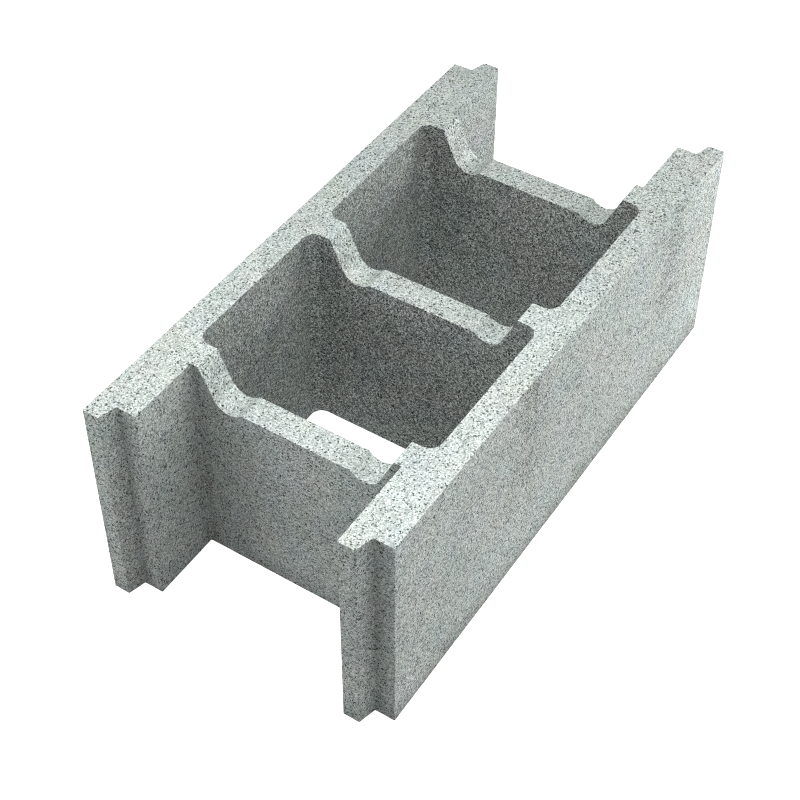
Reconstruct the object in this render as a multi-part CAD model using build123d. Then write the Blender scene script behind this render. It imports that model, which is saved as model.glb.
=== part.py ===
from build123d import *
import math
import os

# A concrete formwork block, dry-cast as one piece: two face shells joined by
# three webs, open from bed to top. X runs through the wall, Y along it and Z
# up, in millimetres. The origin is on the bed, under the middle of the block.

# Overall sizes; the laid length is the run of wall that one block makes
wall_width = 250
laid_length = 495
block_height = 198

# Face shells and webs; the shells are thicker past the outer webs
shell_end_thickness = 35.5
shell_cavity_thickness = 23.5
web_thickness = 23.5
web_spacing = 166
cavity_corner_radius = 10

# Ship-lap ends; each shell end has a tongue on one half and a rebate beside it
tongue_depth = 15
tongue_flank_run = 4
tongue_clearance = 2.5
arris_radius = 1

# Saddle in the web tops; a flat floor with a deeper bar seat at each side of it
saddle_floor_depth = 30.5
saddle_floor_edge_radius = 3
saddle_side_degrees = 66
bar_seat_depth = 35.5
bar_seat_radius = 14
bar_seat_spacing = 117

# How far a cut runs past the faces that it goes through
overrun = 5

# Places that follow from the sizes
half_width = wall_width / 2
shell_end_x = half_width - shell_end_thickness
shell_cavity_x = half_width - shell_cavity_thickness
tip_y = (laid_length + tongue_depth) / 2
rebate_y = tip_y - tongue_depth
end_web_y = web_spacing + web_thickness / 2
cavity_length = web_spacing - web_thickness
tongue_tip_width = (shell_end_thickness - tongue_flank_run - tongue_clearance) / 2


def ship_lap(tongue_face_x):
    """Corners of a shell end at +Y, from its tongue's free face towards -X."""
    tip_x = tongue_face_x - tongue_tip_width
    foot_x = tip_x - tongue_flank_run
    return [
        (tongue_face_x, tip_y),
        (tip_x, tip_y),
        (foot_x, rebate_y),
        (tongue_face_x - shell_end_thickness, rebate_y),
    ]


def plan():
    """Section through shells and webs; half a turn about Z brings it onto itself."""
    pocket = [(shell_end_x, end_web_y), (-shell_end_x, end_web_y)]
    far_end = ship_lap(half_width) + pocket + ship_lap(-shell_end_x)
    near_end = [(-x, -y) for x, y in far_end]
    outline = make_face(Polyline(*far_end, *near_end, close=True))
    outline = fillet(outline.vertices(), arris_radius)
    cavity = RectangleRounded(2 * shell_cavity_x, cavity_length, cavity_corner_radius)
    for cavity_y in (-web_spacing / 2, web_spacing / 2):
        outline -= Pos(0, cavity_y) * cavity
    return outline


def saddle():
    """Section of the saddle across the wall, with X across and Z up."""
    slope = math.radians(saddle_side_degrees)
    floor_z = block_height - saddle_floor_depth
    seat_x = bar_seat_spacing / 2
    seat_z = block_height - bar_seat_depth + bar_seat_radius
    floor_end_x = seat_x - math.sqrt(bar_seat_radius**2 - (seat_z - floor_z) ** 2)
    side_foot = (
        seat_x + bar_seat_radius * math.sin(slope),
        seat_z - bar_seat_radius * math.cos(slope),
    )
    top_z = block_height + overrun
    top_x = side_foot[0] + (top_z - side_foot[1]) / math.tan(slope)
    half = make_face(
        [
            Polyline((0, top_z), (0, floor_z), (floor_end_x, floor_z)),
            ThreePointArc((floor_end_x, floor_z), (seat_x, seat_z - bar_seat_radius), side_foot),
            Polyline(side_foot, (top_x, top_z), (0, top_z)),
        ]
    )
    section = half + mirror(half, Plane.YZ)
    floor_edges = section.vertices().filter_by_position(Axis.Y, floor_z, floor_z)
    return fillet(floor_edges, saddle_floor_edge_radius)


block = extrude(plan(), block_height)
saddle_reach = end_web_y + overrun
block -= extrude(Plane.XZ * saddle(), saddle_reach, both=True)
block.label = "formwork_block"

os.makedirs("parts", exist_ok=True)
export_step(block, "parts/formwork_block.step")
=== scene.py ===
import math

import bmesh
import bpy
import numpy as np
from mathutils import Matrix, Vector, noise
from mathutils.geometry import delaunay_2d_cdt


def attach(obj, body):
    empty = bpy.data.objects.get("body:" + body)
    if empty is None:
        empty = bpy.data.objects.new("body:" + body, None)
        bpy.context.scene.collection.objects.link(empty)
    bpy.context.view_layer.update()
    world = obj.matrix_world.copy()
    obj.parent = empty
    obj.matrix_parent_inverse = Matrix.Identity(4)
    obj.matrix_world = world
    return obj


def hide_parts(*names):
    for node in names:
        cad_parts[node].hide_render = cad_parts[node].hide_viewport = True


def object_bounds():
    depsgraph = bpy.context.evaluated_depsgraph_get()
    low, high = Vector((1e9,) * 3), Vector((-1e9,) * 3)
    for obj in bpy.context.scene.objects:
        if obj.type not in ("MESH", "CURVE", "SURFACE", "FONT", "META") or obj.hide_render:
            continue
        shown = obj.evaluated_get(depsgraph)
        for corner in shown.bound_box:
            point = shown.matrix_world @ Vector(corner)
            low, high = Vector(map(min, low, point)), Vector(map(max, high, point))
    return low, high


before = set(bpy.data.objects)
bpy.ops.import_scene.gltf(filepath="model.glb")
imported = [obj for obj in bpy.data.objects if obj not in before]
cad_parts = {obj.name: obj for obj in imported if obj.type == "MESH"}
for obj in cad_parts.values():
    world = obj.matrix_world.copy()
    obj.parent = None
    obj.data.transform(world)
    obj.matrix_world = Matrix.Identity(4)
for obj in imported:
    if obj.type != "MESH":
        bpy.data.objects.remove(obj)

# The visual block is one mesh, laid over the plan, the height and the saddle that are
# read from the CAD node. Lengths are in metres, and the relief only goes inwards.
cad_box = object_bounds()
cad_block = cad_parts["formwork_block"]

# Units and limits: a length well past the block, and the tilt under which a face is upright
MM = 0.001
WELD = 0.01 * MM
FAR = 1.0
UPRIGHT_LIMIT = 0.5

# Mesh steps; the columns, rows and rings beside an arris are closer
RIM_STEP = 2.7 * MM
ROW_STEP = 4.9 * MM
TOP_STEP = 1.6 * MM
BED_STEP = 4.0 * MM
ARRIS_STEPS = (0.7 * MM, 1.7 * MM)
LONG_SIDE = 4 * RIM_STEP
GRID_JITTER = 0.28
SHARP_ANGLE = math.radians(32)

# Caps: how far the grid keeps from the last ring, in steps, and a ring from other rims, in depths
GRID_GAP = 0.6
RING_GAP = 0.85
CAP_WELD_IN_MM = 1e-5

# Relief of the cast skin: depth of each kind, and the size of its forms
SKIN_DEPTH = 0.22 * MM
WAVE_DEPTH = 0.12 * MM
WAVE_SIZE = 55 * MM
GRAIN_DEPTH = 0.10 * MM
GRAIN_SIZE = 4.5 * MM
PIT_SHARE = 0.035
PIT_DEPTHS = (0.15 * MM, 0.45 * MM)

# Wear of the arrises, less just beside them, with a few small chips
WEAR_DEPTH = 0.12 * MM
WEAR_SWING = 0.11 * MM
WEAR_SIZE = 9 * MM
WEAR_BESIDE = 0.3
BESIDE_REACH = 1.2 * ARRIS_STEPS[0]
CHIP_DEPTH = 0.30 * MM
CHIP_SIZE = 17 * MM
CHIP_LIMIT = 0.40
RELIEF_SEED = 11
SEED_SHIFT = (3.7, 1.3, 2.1)

# Inner corners, for the shade painted into them: how far a wall's surroundings count, and in how many
# directions
NOOK_REACH = 37 * MM
NOOK_RAYS = 24
NOOK_SPREAD = math.radians(80)
NOOK_START = 0.2 * MM

# Grains of the concrete, and the holes among them, which carry painted shade; tones are relative to the
# skin's albedo
GRAIN_CELL = 1.0 * MM
GRAIN_TONES = (0.72, 1.62)
GRAIN_SKEW = 1.5
HOLE_SHARE = 0.10
HOLE_EDGE = 0.03
HOLE_PAINTED_SHADE = 0.25

# Pores, which carry painted shade: their radii in cells, where a radius under 0 leaves the cell without
# one
PORE_CELL = 2.8 * MM
PORE_RADII = (-0.05, 0.38)
PORE_EDGE = 0.08
PORE_PAINTED_SHADE = 0.22
PORE_RELIEF = 0.4

# Albedo and tint of the sides and of what faces up; the higher albedo of what faces up is painted light
SIDE_ALBEDO = 0.381
TOP_ALBEDO_WITH_PAINTED_LIGHT = 0.577
TOP_FACING = (0.25, 0.75)
BRIGHTEST = 0.82
DARK_TINT = (0.83, 1.00, 0.92, 1)
LIGHT_TINT = (0.926, 1.00, 0.96, 1)

# Powers that the grain's tones are raised to; in the cavities, what the shells and the webs add
SIDE_POWER = 1.17
TOP_POWER = 0.92
CAVITY_BODY_POWERS = (0.53, 0.93)
CAVITY_HOLE_POWERS = (-0.25, 0.08)

# Clouds of tone and tint: the size of their forms, and how far they swing
NOISE_RANGE = (0.3, 0.7)
CLOUD_SIZE = 90 * MM
CLOUD_DETAIL = 3.0
CLOUD_TONES = (0.93, 1.07)
MOTTLE_SIZE = 16 * MM
MOTTLE_TONES = (0.95, 1.05)
WARM_SIZE = 34 * MM
COOL_SIZE = 27 * MM
TINT_SWING = 0.035

# Stains down the outer faces, which are frayed at the sides and patchy
OUTER_BAND = (1.0 * MM, 0.5 * MM)
STAIN_Y = -59 * MM
STAIN_SPACING = 232 * MM
STAIN_REACH = 34 * MM
STAIN_FRAY = 16 * MM
STAIN_FRAY_SIZE = 18 * MM
STAIN_FRAY_DETAIL = 3.0
STAIN_FRAY_ROUGHNESS = 0.6
STAIN_FOOT = (55 * MM, 130 * MM)
STAIN_PATCH_SIZE = 11 * MM
STAIN_PATCH_RANGE = (0.35, 0.65)
STAIN_PATCH_LEAST = 0.3
STAIN_TONE = 0.84
STAIN_HOLES = 0.20

# Painted shade at the feet and in inner corners, and cavities with painted light low down and painted
# shade high up
FOOT_REACH = 40 * MM
FOOT_FRAY = 4 * MM
FOOT_FRAY_SIZE = 25 * MM
FOOT_POWER = 2.5
FOOT_PAINTED_SHADE = 0.34
NOOK_PAINTED_SHADE = 0.62
CAVITY_PAINTED_SHADING = (1.11, 0.66)
WEB_LINING_TONE = 0.88

# Fine roughcast in the surface, stronger in the cavities, and its dull finish
ROUGHCAST_SIZE = 2.2 * MM
ROUGHCAST_ROUGHNESS = 0.6
BUMP_STRENGTHS = (0.3, 0.6)
BUMP_DEPTH = 0.35 * MM
ROUGHNESSES = (0.95, 0.85)
SPECULAR = 0.2

# Studio
STUDIO_REACH = 8
STUDIO_HEIGHT = 4
STUDIO_GREY = (0.35, 0.35, 0.35, 1)
STUDIO_GLOW = 0.92
WHITE = (1, 1, 1, 1)
WORLD_STRENGTH = 0.34
PIXEL_FILTER = 1.0
MIDDLE = (0, 0, 0.1)

# The photograph's camera, worked out from the block's corners
EYE = (0.50043, -0.81820, 1.05371)
AIM = (-0.015438, -0.016559, 0.099)
ROLL = math.radians(0.2246)
LENS = 76.348
SHIFT_Y = -0.04

# Sockets of a mix node: its first input and its output, for numbers and for colours
MIX_SOCKETS = {"FLOAT": (2, 0), "RGBA": (6, 2)}


def welded(node):
    """The CAD node's mesh in the shared frame, with its seams closed."""
    mesh = bmesh.new()
    mesh.from_mesh(node.data)
    mesh.transform(node.matrix_world)
    bmesh.ops.remove_doubles(mesh, verts=mesh.verts, dist=WELD)
    return mesh


def bed_outlines(mesh):
    """Closed outlines of the bed in x and y, with the concrete on their left."""
    bed_z = min(v.co.z for v in mesh.verts)
    following = {}
    for face in mesh.faces:
        upright = abs(face.normal.z) < UPRIGHT_LIMIT
        for corner in face.loops:
            start, end = corner.vert, corner.link_loop_next.vert
            if upright and max(start.co.z, end.co.z) < bed_z + WELD:
                following[start] = end
    outlines = []
    while following:
        start, here = following.popitem()
        outline = [start.co.xy[:]]
        while here is not start:
            outline.append(here.co.xy[:])
            here = following.pop(here)
        outlines.append(np.array(outline))
    return outlines


class Saddle:
    """Height of the top over x, and the way along it, so that slopes are meshed as finely as flats."""

    def __init__(self, mesh):
        bed_z = min(v.co.z for v in mesh.verts)
        upper = [v.co for v in mesh.verts if v.co.z > bed_z + WELD]
        heights = {round(p.x / WELD) * WELD: p.z for p in upper}
        x = np.array(sorted(heights))
        z = np.array([heights[key] for key in x])
        low = z < z.max() - WELD
        kept = low | np.roll(low, 1) | np.roll(low, -1)
        self.x = np.concatenate([[-FAR], x[kept], [FAR]])
        self.z = np.concatenate([[z.max()], z[kept], [z.max()]])
        step = np.hypot(np.diff(self.x), np.diff(self.z))
        self.way = np.concatenate([[0.0], np.cumsum(step)])
        self.way -= np.interp(0.0, self.x, self.way)

    def height(self, x):
        return np.interp(x, self.x, self.z)

    def unrolled(self, plan):
        return np.column_stack([np.interp(plan[:, 0], self.x, self.way), plan[:, 1]])

    def rolled(self, flat):
        return np.column_stack([np.interp(flat[:, 0], self.way, self.x), flat[:, 1]])


def sides(outline):
    """The two ends of each side of a closed outline."""
    return zip(outline, np.roll(outline, -1, axis=0))


def stations(start, end, saddle):
    """A side's ends and the places where it crosses the saddle's lines, unrolled."""
    run = end - start
    cuts = [0.0, 1.0]
    if abs(run[0]) > RIM_STEP:
        cuts += list((saddle.x - start[0]) / run[0])
    cuts = sorted(t for t in set(cuts) if 0 <= t <= 1)
    return saddle.unrolled(start + np.outer(cuts, run))


def stepped(outline, saddle):
    """The outline with points in between, unrolled along the saddle."""
    points = []
    for start, end in sides(outline):
        stops = stations(start, end, saddle)
        is_long = np.linalg.norm(end - start) > LONG_SIDE
        for a, b in zip(stops[:-1], stops[1:]):
            length = np.linalg.norm(b - a)
            if length < WELD:
                continue
            count = math.ceil(length / RIM_STEP)
            places = list(np.arange(count) / count)
            has_closer = is_long and ARRIS_STEPS[0] < length
            if has_closer and np.allclose(a, stops[0]):
                places.append(ARRIS_STEPS[0] / length)
            if has_closer and np.allclose(b, stops[-1]):
                places.append(1 - ARRIS_STEPS[0] / length)
            points += [a + t * (b - a) for t in sorted(places)]
    return np.array(points)


def rim_distance(points, rims):
    """Distance of each point from the nearest rim, and whether it is in the concrete."""
    nearest = np.full(len(points), FAR)
    inside = np.zeros(len(points), dtype=bool)
    for rim in rims:
        for a, b in sides(rim):
            run = b - a
            t = np.clip((points - a) @ run / (run @ run), 0, 1)
            gap = points - a - t[:, None] * run
            nearest = np.minimum(nearest, np.hypot(gap[:, 0], gap[:, 1]))
            if a[1] != b[1]:
                spans = (points[:, 1] < a[1]) != (points[:, 1] < b[1])
                crossing = a[0] + (points[:, 1] - a[1]) / run[1] * run[0]
                inside ^= spans & (points[:, 0] < crossing)
    return nearest, inside


def inset(rim, depth):
    """The rim moved into the concrete."""
    run = np.roll(rim, -1, axis=0) - np.roll(rim, 1, axis=0)
    normal = np.column_stack([-run[:, 1], run[:, 0]])
    normal /= np.linalg.norm(normal, axis=1)[:, None]
    return rim + depth * normal


def rim_edges(rims):
    """Numbers of neighbouring points round each rim, counted through all of the rims."""
    edges = []
    first = 0
    for rim in rims:
        count = len(rim)
        edges += [(first + i, first + (i + 1) % count) for i in range(count)]
        first += count
    return edges


def cap(rims, bounds, step, rng):
    """Points and triangles of a cap: the rims' points first, then a loose grid and rings."""
    rim_points = np.concatenate(rims)
    low, high = rim_points.min(axis=0), rim_points.max(axis=0)
    grid_x = np.arange(low[0], high[0], step)
    grid_y = np.arange(low[1], high[1], step)
    grid = np.stack(np.meshgrid(grid_x, grid_y, indexing="ij"), axis=-1).reshape(-1, 2)
    grid += rng.uniform(-GRID_JITTER, GRID_JITTER, grid.shape) * step
    gap, inside = rim_distance(grid, bounds)
    chosen = [rim_points, grid[inside & (gap > ARRIS_STEPS[-1] + GRID_GAP * step)]]
    for depth in ARRIS_STEPS:
        ring = np.concatenate([inset(rim, depth) for rim in rims])
        gap, inside = rim_distance(ring, bounds)
        chosen.append(ring[inside & (gap > RING_GAP * depth)])
    points = np.concatenate(chosen)
    flat = [Vector(p) for p in points / MM]
    _, _, triangles, origins, _, _ = delaunay_2d_cdt(flat, rim_edges(rims), [], 0, CAP_WELD_IN_MM)
    back = np.array([o[0] for o in origins])
    triangles = back[np.array(triangles)]
    _, inside = rim_distance(points[triangles].mean(axis=1), bounds)
    return points, triangles[inside]


def wall_rows(top):
    """Heights of a wall's rows from the bed to its top, closer at the arrises."""
    edge = np.array((0.0,) + ARRIS_STEPS)
    count = round((cad_box[1].z - 2 * edge[-1]) / ROW_STEP)
    middle = np.linspace(edge[-1], top - edge[-1], count + 1)[1:-1]
    return np.concatenate([edge, middle, top - edge[::-1]])


def wall_faces(rims, rows):
    """Quads of the walls, from column to column."""
    faces = []
    for left, right in rim_edges(rims):
        a = left * rows
        b = right * rows
        faces += [(a + k, b + k, b + k + 1, a + k + 1) for k in range(rows - 1)]
    return faces


def nooks(rims, outlines):
    """How deep each rim point lies in an inner corner of the plan, 0 in the open and 0.5 in the corner:
    the mask for the shade painted there.
    """
    outwards = np.concatenate([inset(rim, -1.0) - rim for rim in rims])
    starts = np.concatenate(rims) + NOOK_START * outwards
    turns = np.linspace(-NOOK_SPREAD, NOOK_SPREAD, NOOK_RAYS)
    ray_x = np.outer(outwards[:, 0], np.cos(turns)) - np.outer(outwards[:, 1], np.sin(turns))
    ray_y = np.outer(outwards[:, 0], np.sin(turns)) + np.outer(outwards[:, 1], np.cos(turns))
    free = np.full(ray_x.shape, NOOK_REACH)
    for outline in outlines:
        for a, b in sides(outline):
            side = b - a
            gap = (a - starts)[:, :, None]
            cross = ray_x * side[1] - ray_y * side[0]
            cross = np.where(abs(cross) < WELD * MM, WELD * MM, cross)
            way = (gap[:, 0] * side[1] - gap[:, 1] * side[0]) / cross
            share = (gap[:, 0] * ray_y - gap[:, 1] * ray_x) / cross
            hit = (way > 0) & (way < free) & (share >= 0) & (share <= 1)
            free = np.where(hit, way, free)
    weight = np.cos(turns) / np.cos(turns).sum()
    return 1 - free @ weight / NOOK_REACH


def block_shape(saddle, rims, bounds, rng):
    """Vertices and faces, how near each vertex is to an arris, and which line a cavity."""
    plan = saddle.rolled(np.concatenate(rims))
    columns = np.array([wall_rows(top) for top in saddle.height(plan[:, 0])])
    rim_count, rows = columns.shape
    arris = np.zeros(columns.shape)
    arris[:, [0, -1]] = 1.0
    arris[:, [1, -2]] = WEAR_BESIDE
    widest = max(np.ptp(rim[:, 0]) for rim in rims)
    vertices = [np.column_stack([np.repeat(plan, rows, axis=0), columns.ravel()])]
    faces = wall_faces(rims, rows)
    nearness = [arris.ravel()]
    lining = [np.full(len(rim) * rows, float(np.ptp(rim[:, 0]) < widest)) for rim in rims]
    total = columns.size
    for step, is_top in ((TOP_STEP, True), (BED_STEP, False)):
        points, triangles = cap(rims, bounds, step, rng)
        inner = saddle.rolled(points[rim_count:])
        heights = saddle.height(inner[:, 0]) if is_top else np.zeros(len(inner))
        on_rim = np.arange(rim_count) * rows + (rows - 1 if is_top else 0)
        number = np.concatenate([on_rim, total + np.arange(len(inner))])
        turn = triangles if is_top else triangles[:, ::-1]
        faces += [tuple(t) for t in number[turn].tolist()]
        gap, _ = rim_distance(points[rim_count:], bounds)
        vertices.append(np.column_stack([inner, heights]))
        nearness.append(np.where(gap < BESIDE_REACH, WEAR_BESIDE, 0.0))
        lining.append(np.zeros(len(inner)))
        total += len(inner)
    return np.concatenate(vertices), faces, np.concatenate(nearness), np.concatenate(lining)


def noise_at(points, size, seed):
    """Smooth noise from about -1 to 1 whose forms are about that size."""
    shift = Vector([seed * part for part in SEED_SHIFT])
    return np.array([noise.noise(Vector(p) + shift) for p in points / size])


def relief(points, nearness, rng):
    """How far each vertex goes in: the skin's waves and grain, a few pits, and wear at the arrises."""
    depth = SKIN_DEPTH + WAVE_DEPTH * noise_at(points, WAVE_SIZE, seed=1)
    depth += GRAIN_DEPTH * noise_at(points, GRAIN_SIZE, seed=2)
    is_pit = rng.random(len(points)) < PIT_SHARE
    pits = np.where(is_pit, rng.uniform(*PIT_DEPTHS, len(points)), 0.0)
    pits[nearness > 0] = 0.0
    wear = WEAR_DEPTH + WEAR_SWING * noise_at(points, WEAR_SIZE, seed=3)
    chips = noise_at(points, CHIP_SIZE, seed=4) - CHIP_LIMIT
    wear += CHIP_DEPTH * np.clip(chips / (1 - CHIP_LIMIT), 0, None)
    return np.clip(depth, 0, None) + pits + nearness * np.clip(wear, 0, None)


def make_block():
    """The visual block, in place of the CAD node."""
    rng = np.random.default_rng(RELIEF_SEED)
    cad_mesh = welded(cad_block)
    saddle = Saddle(cad_mesh)
    outlines = bed_outlines(cad_mesh)
    cad_mesh.free()
    rims = [stepped(outline, saddle) for outline in outlines]
    bounds = [saddle.unrolled(outline) for outline in outlines]
    points, faces, nearness, lining = block_shape(saddle, rims, bounds, rng)
    # depth in inner corners, which sets how much shade is painted there
    corner_shade_mask = nooks([saddle.rolled(rim) for rim in rims], outlines)
    rows = len(wall_rows(cad_box[1].z))
    corner_shade_mask = np.concatenate([np.repeat(corner_shade_mask, rows), np.zeros(len(points) - len(corner_shade_mask) * rows)])
    mesh = bpy.data.meshes.new("concrete_block")
    mesh.from_pydata(points.tolist(), [], faces)
    normals = np.empty(len(points) * 3)
    mesh.vertex_normals.foreach_get("vector", normals)
    depth = relief(points, nearness, rng)
    moved = points - normals.reshape(-1, 3) * depth[:, None]
    mesh.vertices.foreach_set("co", moved.ravel())
    mesh.update()
    mesh.shade_smooth()
    mesh.set_sharp_from_angle(angle=SHARP_ANGLE)
    for name, values in (("cavity", lining), ("corner_shade_mask", corner_shade_mask)):
        mesh.attributes.new(name, "FLOAT", "POINT").data.foreach_set("value", values)
    block = bpy.data.objects.new("concrete_block", mesh)
    bpy.context.scene.collection.objects.link(block)
    return block


class Shader:
    """A material's node tree, with short calls for the nodes that are used here."""

    def __init__(self, name):
        self.material = bpy.data.materials.new(name)
        self.material.use_nodes = True
        self.tree = self.material.node_tree
        self.surface = self.tree.nodes["Principled BSDF"]

    def fill(self, node, sockets):
        """Links a node's sockets, or sets them where the value is a constant."""
        for key, value in sockets.items():
            if isinstance(value, bpy.types.NodeSocket):
                self.tree.links.new(value, node.inputs[key])
            else:
                node.inputs[key].default_value = value

    def node(self, kind, sockets, **settings):
        made = self.tree.nodes.new(kind)
        for key, value in settings.items():
            setattr(made, key, value)
        self.fill(made, sockets)
        return made

    def math(self, operation, a, b=0.0):
        return self.node("ShaderNodeMath", {0: a, 1: b}, operation=operation).outputs[0]

    def vector_math(self, operation, sockets):
        return self.node("ShaderNodeVectorMath", sockets, operation=operation).outputs[0]

    def product(self, first, *others):
        for other in others:
            first = self.math("MULTIPLY", first, other)
        return first

    def attribute(self, name):
        return self.node("ShaderNodeAttribute", {}, attribute_name=name).outputs["Fac"]

    def axes(self, vector):
        return self.node("ShaderNodeSeparateXYZ", {"Vector": vector}).outputs

    def remap(self, value, low, high, to_low, to_high, smooth=False):
        kind = "SMOOTHSTEP" if smooth else "LINEAR"
        sockets = {"Value": value, "From Min": low, "From Max": high}
        sockets.update({"To Min": to_low, "To Max": to_high})
        made = self.node("ShaderNodeMapRange", sockets, interpolation_type=kind, clamp=True)
        return made.outputs["Result"]

    def blend(self, share, low, high):
        """From low where the share is 0 to high where it is 1."""
        return self.remap(share, 0.0, 1.0, low, high)

    def mix(self, share, a, b, kind="FLOAT"):
        """From a to b, which may be sockets; RGBA mixes colours."""
        first, result = MIX_SOCKETS[kind]
        sockets = {0: share, first: a, first + 1: b}
        return self.node("ShaderNodeMix", sockets, data_type=kind).outputs[result]

    def noise(self, place, size, detail=2.0, roughness=0.5):
        sockets = {"Vector": place, "Scale": 1 / size, "Detail": detail, "Roughness": roughness}
        return self.node("ShaderNodeTexNoise", sockets).outputs["Fac"]

    def clouds(self, place, size, low, high, detail=2.0, roughness=0.5):
        """Noise of that size which swings from low to high."""
        return self.remap(self.noise(place, size, detail, roughness), *NOISE_RANGE, low, high)

    def cells(self, place, size):
        return self.node("ShaderNodeTexVoronoi", {"Vector": place, "Scale": 1 / size})

    def draws(self, cells):
        """Random numbers for each cell; its own colour follows where its point lies in it."""
        white = self.node("ShaderNodeTexWhiteNoise", {"Vector": cells.outputs["Color"]})
        return self.node("ShaderNodeSeparateColor", {"Color": white.outputs["Color"]}).outputs


def pores(shader, place):
    """Round pores of mixed radius, one at most in each cell, as the mask for the shade painted into
    them.
    """
    cells = shader.cells(place, PORE_CELL)
    radius = shader.blend(shader.draws(cells)["Red"], *PORE_RADII)
    depth = shader.math("SUBTRACT", radius, cells.outputs["Distance"])
    return shader.remap(depth, 0.0, PORE_EDGE, 0.0, 1.0, smooth=True)


def grain_tones(shader, place, stain):
    """Sand grains packed side by side: each one's tone, and the holes with painted shade in them, of
    which a stain has more.
    """
    random = shader.draws(shader.cells(place, GRAIN_CELL))
    body = shader.blend(shader.math("POWER", random["Red"], GRAIN_SKEW), *GRAIN_TONES)
    filled = shader.math("SUBTRACT", random["Green"], shader.product(stain, STAIN_HOLES))
    hole = shader.remap(filled, HOLE_SHARE - HOLE_EDGE, HOLE_SHARE + HOLE_EDGE, HOLE_PAINTED_SHADE, 1.0)
    return body, hole


def stains(shader, place, axes):
    """Soft stains that run down from the top, at even spacing along the outer faces."""
    from_middle = shader.math("ABSOLUTE", axes["X"])
    face = [cad_box[1].x - depth for depth in OUTER_BAND]
    outer = shader.remap(from_middle, *face, 0.0, 1.0)
    along = shader.math("SUBTRACT", axes["Y"], STAIN_Y)
    gap = shader.math("PINGPONG", along, STAIN_SPACING / 2)
    edge = (STAIN_FRAY_DETAIL, STAIN_FRAY_ROUGHNESS)
    fray = shader.clouds(place, STAIN_FRAY_SIZE, -STAIN_FRAY, STAIN_FRAY, *edge)
    core = shader.remap(shader.math("ADD", gap, fray), 0.0, STAIN_REACH, 1.0, 0.0, smooth=True)
    fall = shader.remap(axes["Z"], *STAIN_FOOT, 0.0, 1.0, smooth=True)
    patchy = shader.noise(place, STAIN_PATCH_SIZE)
    patch = shader.remap(patchy, *STAIN_PATCH_RANGE, STAIN_PATCH_LEAST, 1.0)
    return shader.product(outer, shader.product(core, fall, patch))


def painted_foot_shade(shader, place, axes):
    """Tone of the sides, with painted shade that darkens them near the bed along a loose edge."""
    fray = shader.clouds(place, FOOT_FRAY_SIZE, -FOOT_FRAY, FOOT_FRAY)
    height = shader.math("ADD", axes["Z"], fray)
    # painted shade, strongest at the bed
    low = shader.math("POWER", shader.remap(height, 0.0, FOOT_REACH, 1.0, 0.0), FOOT_POWER)
    return shader.blend(low, 1.0, 1.0 - FOOT_PAINTED_SHADE)


def lining_shade_and_tone(shader, axes, across):
    """Tone in the cavities: painted light low down and painted shade high up, and darker on the webs.
    """
    # painted light low in the cavities, painted shade high up
    upwards = shader.remap(axes["Z"], 0.0, cad_box[1].z, *CAVITY_PAINTED_SHADING)
    return shader.product(upwards, shader.blend(across, 1.0, WEB_LINING_TONE))


def tint(shader, place, tone):
    """Grey-green, deeper in the dark grains, with slow drifts to warm and cool."""
    grey = shader.mix(tone, DARK_TINT, LIGHT_TINT, "RGBA")
    swing = (1.0 - TINT_SWING, 1.0 + TINT_SWING)
    warm = shader.clouds(place, WARM_SIZE, *swing)
    cool = shader.clouds(place, COOL_SIZE, *swing)
    drift = shader.node("ShaderNodeCombineXYZ", {"X": warm, "Y": 1.0, "Z": cool}).outputs[0]
    return shader.vector_math("MULTIPLY", {0: grey, 1: drift})


def skin_powers(shader, top, across, cavity):
    """Powers of the grains' tones and of the holes, by where the skin lies."""
    skin = shader.blend(top, SIDE_POWER, TOP_POWER)
    powers = []
    for added in (CAVITY_BODY_POWERS, CAVITY_HOLE_POWERS):
        lining = shader.product(cavity, shader.blend(across, *added))
        powers.append(shader.math("ADD", skin, lining))
    return powers


def skin_surface(shader, place, cavity, pore):
    """Fine roughcast with sunken pores, and its dull finish."""
    roughcast = shader.noise(place, ROUGHCAST_SIZE, roughness=ROUGHCAST_ROUGHNESS)
    bump = {
        "Height": shader.math("SUBTRACT", roughcast, shader.product(pore, PORE_RELIEF)),
        "Strength": shader.blend(cavity, *BUMP_STRENGTHS),
        "Distance": BUMP_DEPTH,
    }
    return {
        "Normal": shader.node("ShaderNodeBump", bump).outputs["Normal"],
        "Roughness": shader.remap(roughcast, *NOISE_RANGE, *ROUGHNESSES),
        "Specular IOR Level": SPECULAR,
    }


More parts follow.
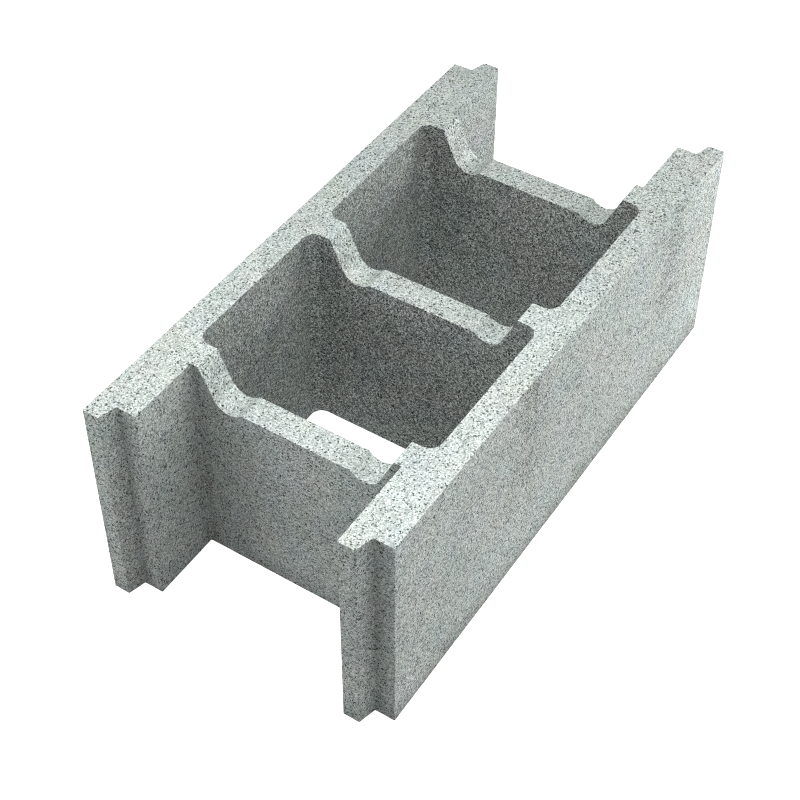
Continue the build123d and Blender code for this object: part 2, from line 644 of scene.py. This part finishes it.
def concrete():
    """Dry-cast concrete: pale grey-green skin of fine grains, with pores, stains and soft clouds."""
    shader = Shader("concrete")
    source = shader.node("ShaderNodeTexCoord", {})
    place = source.outputs["Object"]
    axes = shader.axes(place)
    facing = shader.axes(source.outputs["Normal"])
    top = shader.remap(facing["Z"], *TOP_FACING, 0.0, 1.0)
    across = shader.math("ABSOLUTE", facing["Y"])
    cavity = shader.attribute("cavity")
    corner_shade_mask = shader.attribute("corner_shade_mask")

    stain = stains(shader, place, axes)
    pore = pores(shader, place)
    body, hole = grain_tones(shader, place, stain)
    body_power, hole_power = skin_powers(shader, top, across, cavity)
    # grain tones, with painted shade in the holes and in the pores
    grains = shader.product(
        shader.math("POWER", body, body_power),
        shader.math("POWER", hole, hole_power),
        shader.blend(pore, 1.0, PORE_PAINTED_SHADE),
    )
    value = shader.product(
        grains,
        shader.clouds(place, CLOUD_SIZE, *CLOUD_TONES, CLOUD_DETAIL),
        shader.clouds(place, MOTTLE_SIZE, *MOTTLE_TONES),
        shader.blend(stain, 1.0, STAIN_TONE),
        # painted shade in inner corners, stronger deeper in the corner
        shader.blend(corner_shade_mask, 1.0, 1.0 - NOOK_PAINTED_SHADE),
        # painted shade near the bed on the sides; in the cavities, painted light low down and painted
        # shade high up
        shader.mix(cavity, painted_foot_shade(shader, place, axes), lining_shade_and_tone(shader, axes, across)),
        # what faces up is painted lighter than the sides
        shader.blend(top, SIDE_ALBEDO, TOP_ALBEDO_WITH_PAINTED_LIGHT),
    )
    value = shader.math("MINIMUM", value, BRIGHTEST)
    colour = shader.vector_math("SCALE", {0: tint(shader, place, grains), "Scale": value})
    shader.fill(shader.surface, {"Base Color": colour})
    shader.fill(shader.surface, skin_surface(shader, place, cavity, pore))
    return shader.material


def floor_paint():
    """Plain white that gives off a little light, so that the studio stays pale all round."""
    shader = Shader("floor_paint")
    sockets = {
        "Base Color": STUDIO_GREY,
        "Roughness": 1.0,
        "Specular IOR Level": 0.0,
        "Emission Color": WHITE,
        "Emission Strength": STUDIO_GLOW,
    }
    shader.fill(shader.surface, sockets)
    return shader.material


def studio_piece(name, corners, faces, paint):
    """A plain piece of the studio, which throws no light back on the block."""
    mesh = bpy.data.meshes.new(name)
    mesh.from_pydata(corners, [], faces)
    mesh.materials.append(paint)
    piece = bpy.data.objects.new(name, mesh)
    bpy.context.scene.collection.objects.link(piece)
    piece.visible_diffuse = False
    return piece


def make_studio():
    """A wide floor, and walls round it that only a low camera sees."""
    paint = floor_paint()
    corners = ((-1, -1), (1, -1), (1, 1), (-1, 1))
    low = [(x * STUDIO_REACH, y * STUDIO_REACH, 0) for x, y in corners]
    high = [(x, y, STUDIO_HEIGHT) for x, y, _ in low]
    count = len(corners)
    studio_piece("floor", low, [tuple(range(count))], paint)
    faces = [(a, b, b + count, a + count) for a, b in rim_edges([low])]
    walls = studio_piece("studio_walls", low + high, faces, paint)
    walls.visible_shadow = False
    walls.visible_glossy = False


def soft_box(name, place, aim, size, watts):
    """A round area light that looks at its aim."""
    light = bpy.data.lights.new(name, "AREA")
    light.shape = "DISK"
    light.size = size
    light.energy = watts
    lamp = bpy.data.objects.new(name, light)
    lamp.location = place
    lamp.rotation_mode = "QUATERNION"
    lamp.rotation_quaternion = (Vector(aim) - Vector(place)).to_track_quat("-Z", "Y")
    bpy.context.scene.collection.objects.link(lamp)


def make_lights():
    """Soft boxes above, at the right and in front of the block."""
    soft_box("overhead", place=(0.5, 0, 1.4), aim=MIDDLE, size=1.0, watts=2.9)
    soft_box("front_top", place=(0.08, -0.22, 0.64), aim=(0.08, -0.22, 0), size=0.45, watts=1.58)
    soft_box("right", place=(1.25, -0.05, 0.48), aim=MIDDLE, size=1.0, watts=5.3)
    soft_box("right_back", place=(0.60, 0.60, 0.25), aim=(0.125, 0.2, 0.1), size=0.4, watts=5.1)
    soft_box("front_left", place=(-0.864, -0.864, 0.545), aim=MIDDLE, size=1.0, watts=7.4)
    soft_box("front", place=(0.45, -1.1, 0.3), aim=(-0.05, -0.2, 0.1), size=0.7, watts=0.55)


def make_world():
    """An even white surround, and plain colours with a crisp pixel filter."""
    world = bpy.data.worlds.new("studio")
    world.use_nodes = True
    background = world.node_tree.nodes["Background"]
    background.inputs["Color"].default_value = WHITE
    background.inputs["Strength"].default_value = WORLD_STRENGTH
    scene = bpy.context.scene
    scene.world = world
    scene.view_settings.view_transform = "Standard"
    scene.cycles.denoising_prefilter = "NONE"
    scene.cycles.filter_width = PIXEL_FILTER


def make_camera():
    """The camera at its eye, turned to its aim and rolled a little."""
    eye = Vector(EYE)
    roll = Matrix.Rotation(ROLL, 3, "Z")
    turn = (Vector(AIM) - eye).to_track_quat("-Z", "Y").to_matrix() @ roll
    camera = bpy.data.cameras.new("camera")
    camera.lens = LENS
    camera.shift_y = SHIFT_Y
    holder = bpy.data.objects.new("camera", camera)
    holder.matrix_world = Matrix.Translation(eye) @ turn.to_4x4()
    bpy.context.scene.collection.objects.link(holder)
    bpy.context.scene.camera = holder


block = make_block()
block.data.materials.append(concrete())
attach(block, "root")
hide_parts("formwork_block")
make_studio()
make_lights()
make_world()
make_camera()
